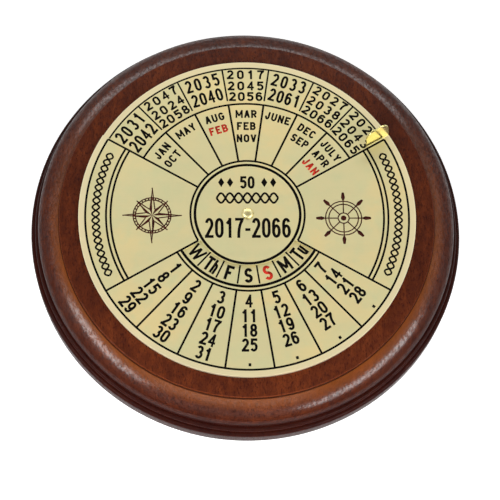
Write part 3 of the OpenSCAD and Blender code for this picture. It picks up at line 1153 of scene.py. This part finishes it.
def ships_wheel(tall):
    """Pen paths and filled handles of a wheel with eight spokes."""
    lines = [ring(0, 0, part * tall, part * tall) for part in WHEEL_RINGS]
    fills = [ring(0, 0, WHEEL_HUB * tall, WHEEL_HUB * tall)]
    for spoke in range(SPOKES):
        bearing = spoke * 360 / SPOKES
        lines.append([polar(part * tall, bearing) for part in SPOKE])
        half = HANDLE_HALF * tall
        right = [polar(part * tall, bearing, half * swell) for part, swell in HANDLE]
        left = [polar(part * tall, bearing, -half * swell) for part, swell in reversed(HANDLE)]
        fills.append(right + left + right[:1])
    return lines, fills


print("The wheel has", len(ships_wheel(1)[1]) - 1, "handles and a hub")

# %% Print the two ornaments
ORNAMENT_PEN = 0.34
# Name, design with its reach, and where its middle stands on the dial
ORNAMENTS = [
    ("compass_rose", compass_rose(8.6), (-27.7, -0.5)),
    ("ships_wheel", ships_wheel(8.0), (27.9, -1.4)),
]
for name, (lines, fills), middle in ORNAMENTS:
    ornament = drawn(name, shifted(lines, *middle), ORNAMENT_PEN, shifted(fills, *middle))
    printed(name, [(ornament, IN_PLACE)], PLATE_TOP, BROWN, "dial", "brown_enamel")

# %% [markdown]
# ## Felt and the hidden layers
#
# A felt pad under the base keeps the desk from scratches. It is turned like the base, with a
# soft rounded rim, and its finish is a tangle of short fibres: two noises, one much finer, that
# change both the colour and the bump. The adhesive film and the two washers can only be seen in
# an exploded view, and get a plain but real finish each.

# %% Felt, film and washers
FELT_ROUND = 0.4 * MM
felt_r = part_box("felt_pad")[1].x
felt_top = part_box("felt_pad")[1].z


def felt():
    """Dark green-grey felt with a tangle of fibres."""
    cloth = Finish("felt", Specular_IOR_Level=0.1, Sheen_Weight=0.3, Sheen_Roughness=0.6)
    tufts = cloth.noise(450, 4, (1, 1, 1), 0.7)
    fibres = cloth.noise(2600, 3, (1, 1, 1), 0.7)
    tone = cloth.blend(tufts * 0.6 + fibres * 0.4, linear(28, 34, 31), linear(66, 74, 68))
    fuzz = cloth.bump(tufts, 0.15 * MM, cloth.bump(fibres, 0.08 * MM))
    return cloth.set(Base_Color=tone, Roughness=0.85 + fibres * 0.15, Normal=fuzz)


def film(name, tint, gloss):
    """Thin milky plastic film, a little cloudy."""
    layer = Finish(name)
    clouds = layer.noise(160, 3)
    tone = layer.blend(clouds, linear(*tint), linear(*(part - 18 for part in tint)))
    return layer.set(Base_Color=tone, Roughness=gloss + clouds * 0.2, Normal=layer.bump(clouds, 0.01 * MM))


felt_profile = [(0, CAD_BOX[0].z), (felt_r - FELT_ROUND, CAD_BOX[0].z)]
felt_profile += arc((felt_r - FELT_ROUND, CAD_BOX[0].z + FELT_ROUND), (FELT_ROUND, FELT_ROUND), -90, 0, 6)
felt_profile += [(felt_r, felt_top), (0, felt_top)]
dress(turned("felt_underlay", felt_profile, 160), felt(), "base", "felt", "felt_pad")
frame["nodes"]["adhesive_film"].material_slots[0].material = film("adhesive", (226, 222, 206), 0.4)
frame["nodes"]["glide_washer"].material_slots[0].material = film("washer film", (236, 234, 226), 0.25)
frame["nodes"]["tail_washer"].material_slots[0].material = BRIGHT_BRASS

# %% [markdown]
# ## Floor, lamps and world
#
# A lamp can light a thing, be mirrored in it, or do both, and a studio uses this on purpose. One
# box close to the near side only lights the wood, so that the far side falls off as it does in
# the photograph. The boxes to the left and right are only mirrored: they are the two pale
# streaks on the near moulding. So is the low box behind, which draws the bright far edge. The box
# above does both. The world is a ring of pale walls that fills the brass, dimmed towards the
# camera, where a photographer stands in the way, and the camera itself sees plain white instead.
# The floor is pale, and light of its own is added to it where the camera or a reflection looks
# at it, so that it shows white and still keeps the shadow.

# %% Lamps
def lamp(name, azimuth, elevation, away, size, radiance, lights=True, mirrored=True):
    """A soft box that faces the dial. It can be made to light only, or only to be mirrored."""
    width, height = size
    data = bpy.data.lights.new(name, "AREA")
    data.shape = "RECTANGLE"
    data.size = width
    data.size_y = height
    data.energy = radiance * math.pi * width * height
    box = bpy.data.objects.new(name, data)
    bpy.context.collection.objects.link(box)
    towards = direction(math.radians(azimuth), math.radians(elevation))
    turned_to = towards.to_track_quat("Z", "Y").to_matrix().to_4x4()
    box.matrix_world = Matrix.Translation(towards * away) @ turned_to
    box.visible_camera = False
    box.visible_diffuse = lights
    box.visible_glossy = mirrored


lamp("front_box", azimuth=-8, elevation=38, away=0.3, size=(0.3, 0.15), radiance=6.3, mirrored=False)
lamp("top_box", azimuth=-6, elevation=70, away=0.8, size=(0.5, 0.2), radiance=1.2)
lamp("left_box", azimuth=-68, elevation=51, away=0.9, size=(0.44, 0.2), radiance=8.5, lights=False)
lamp("right_box", azimuth=52, elevation=42, away=0.9, size=(0.7, 0.2), radiance=9.5, lights=False)
lamp("back_box", azimuth=180, elevation=35, away=1.1, size=(1.4, 0.24), radiance=3.4, lights=False)
print("Studio has", len(bpy.data.lights), "lamps")

# %% World
# Brightness of the walls by the sine of their elevation. The two ends of the ramp come first
WALLS = [(0.0, 0.5), (1.0, 0.12), (0.5, 0.6), (0.58, 0.8), (0.74, 0.8), (0.84, 0.12)]
# The photographer dims the near side, where Y is low, to this part of its strength
SHADE = {"From Min": -0.9, "From Max": -0.2, "To Min": 0.15, "To Max": 1.0}
WHITE = (1, 1, 1, 1)

world = bpy.data.worlds.new("studio")
bpy.context.scene.world = world
world.use_nodes = True
sky = world.node_tree.nodes
join = world.node_tree.links.new
outwards = sky.new("ShaderNodeSeparateXYZ")
walls = sky.new("ShaderNodeValToRGB")
fill_ramp(walls.color_ramp, [(place, (level, level, level, 1)) for place, level in WALLS])
shade = sky.new("ShaderNodeMapRange")
for socket, value in SHADE.items():
    shade.inputs[socket].default_value = value
backdrop = sky.new("ShaderNodeBackground")
backdrop.inputs["Color"].default_value = WHITE
either = sky.new("ShaderNodeMixShader")
join(sky.new("ShaderNodeTexCoord").outputs["Generated"], outwards.inputs[0])
join(outwards.outputs["Z"], walls.inputs[0])
join(walls.outputs[0], sky["Background"].inputs["Color"])
join(outwards.outputs["Y"], shade.inputs["Value"])
join(shade.outputs[0], sky["Background"].inputs["Strength"])
join(sky.new("ShaderNodeLightPath").outputs["Is Camera Ray"], either.inputs[0])
join(sky["Background"].outputs[0], either.inputs[1])
join(backdrop.outputs[0], either.inputs[2])
join(either.outputs[0], sky["World Output"].inputs["Surface"])
bpy.context.scene.view_settings.view_transform = "Standard"
print("World has", len(sky), "nodes")

# %% Floor
FLOOR_SIZE = 6.0
FLOOR_GLOW = 0.85
FLOOR_GREYS = ((0.6, 0.6, 0.6, 1), (0.64, 0.64, 0.64, 1))

bpy.ops.object.select_all(action="DESELECT")
bpy.ops.mesh.primitive_plane_add(size=FLOOR_SIZE, location=(0, 0, CAD_BOX[0].z))
floor = bpy.context.object
floor.name = "floor"
paper = Finish("white floor", Roughness=0.9, Specular_IOR_Level=0.0)
seen = paper.node("ShaderNodeLightPath", {}, {}, "Is Camera Ray")
mirrored = paper.node("ShaderNodeLightPath", {}, {}, "Is Glossy Ray")
white = paper.blend(paper.noise(700, 3), *FLOOR_GREYS)
glow = paper.blend(seen.maths("MAXIMUM", mirrored) * FLOOR_GLOW, (0, 0, 0, 1), WHITE)
floor.data.materials.append(paper.set(Base_Color=white, Emission_Color=glow, Emission_Strength=1.0))
print("Floor lies at", round(CAD_BOX[0].z / MM, 2), "mm")

# %% [markdown]
# ## Clear away and finish
#
# The signs that were copied all over the dial have done their work and are removed. What has been
# added must not reach past the CAD model, because the calendar is placed and moved by that box.

# %% Clear away the templates and finish
print("Templates removed:", len(TEMPLATES))
for template in TEMPLATES:
    bpy.data.objects.remove(template)
